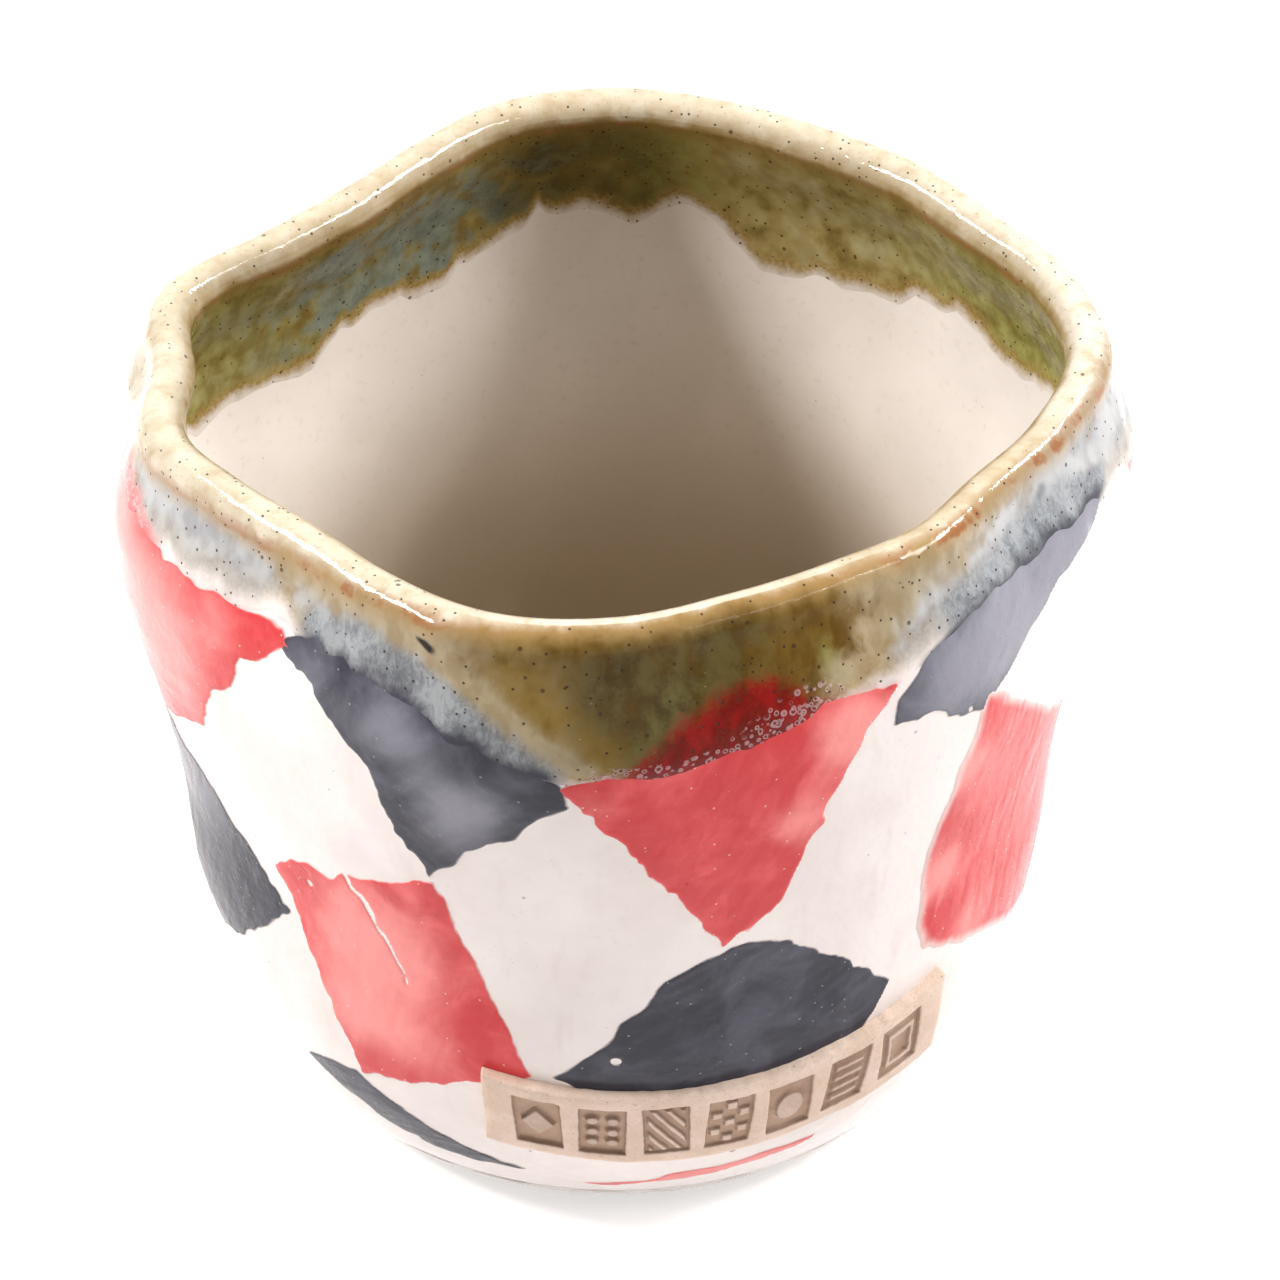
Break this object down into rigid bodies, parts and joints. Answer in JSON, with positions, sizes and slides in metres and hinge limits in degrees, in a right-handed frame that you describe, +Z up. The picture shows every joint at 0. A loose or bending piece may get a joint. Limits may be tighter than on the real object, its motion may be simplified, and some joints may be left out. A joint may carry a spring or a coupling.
{
  "type": "cup",
  "caption": "Handleless hand-built ceramic cup with a wavy rounded-square mouth, runny glaze on the lip and an irregular red, black and white check.",
  "frame": {"origin": "middle of the flat foot, on the surface that the cup stands on", "axes": "+Z up through the mouth, -Y towards the front with the stamped strip, +X to its right"},
  "size_m": [0.1051, 0.104, 0.0882],
  "materials": {
    "stoneware": "bare fired clay, matt",
    "white_glazed_clay": "white clay under a clear gloss glaze",
    "bare_clay": "stamped clay, matt",
    "runny_glaze": "runny olive and blue-grey gloss glaze",
    "cream_glaze": "smooth cream gloss glaze",
    "red_slip": "brushed coral red slip under clear gloss glaze",
    "black_slip": "brushed slate black slip under clear gloss glaze"
  },
  "bodies": {
    "root": {"base_slab": "stoneware", "wall": "white_glazed_clay", "label_strip": "bare_clay", "rim_glaze": "runny_glaze", "liner_glaze": "cream_glaze", "red_patch_front": "red_slip", "red_patch_upper_left": "red_slip", "red_patch_lower_left": "red_slip", "red_patch_right": "red_slip", "red_patch_foot": "red_slip", "red_patch_upper_side": "red_slip", "red_patch_upper_back": "red_slip", "red_patch_middle_side": "red_slip", "red_patch_middle_back": "red_slip", "red_patch_low_right": "red_slip", "red_patch_low_back": "red_slip", "red_patch_low_left": "red_slip", "black_patch_front_left": "black_slip", "black_patch_left": "black_slip", "black_patch_foot_left": "black_slip", "black_patch_upper_right": "black_slip", "black_patch_low_front": "black_slip", "black_patch_upper_side": "black_slip", "black_patch_upper_back": "black_slip", "black_patch_middle_side": "black_slip", "black_patch_middle_back": "black_slip", "black_patch_middle_left": "black_slip", "black_patch_low_side": "black_slip", "black_patch_low_back": "black_slip"}
  },
  "joints": []
}
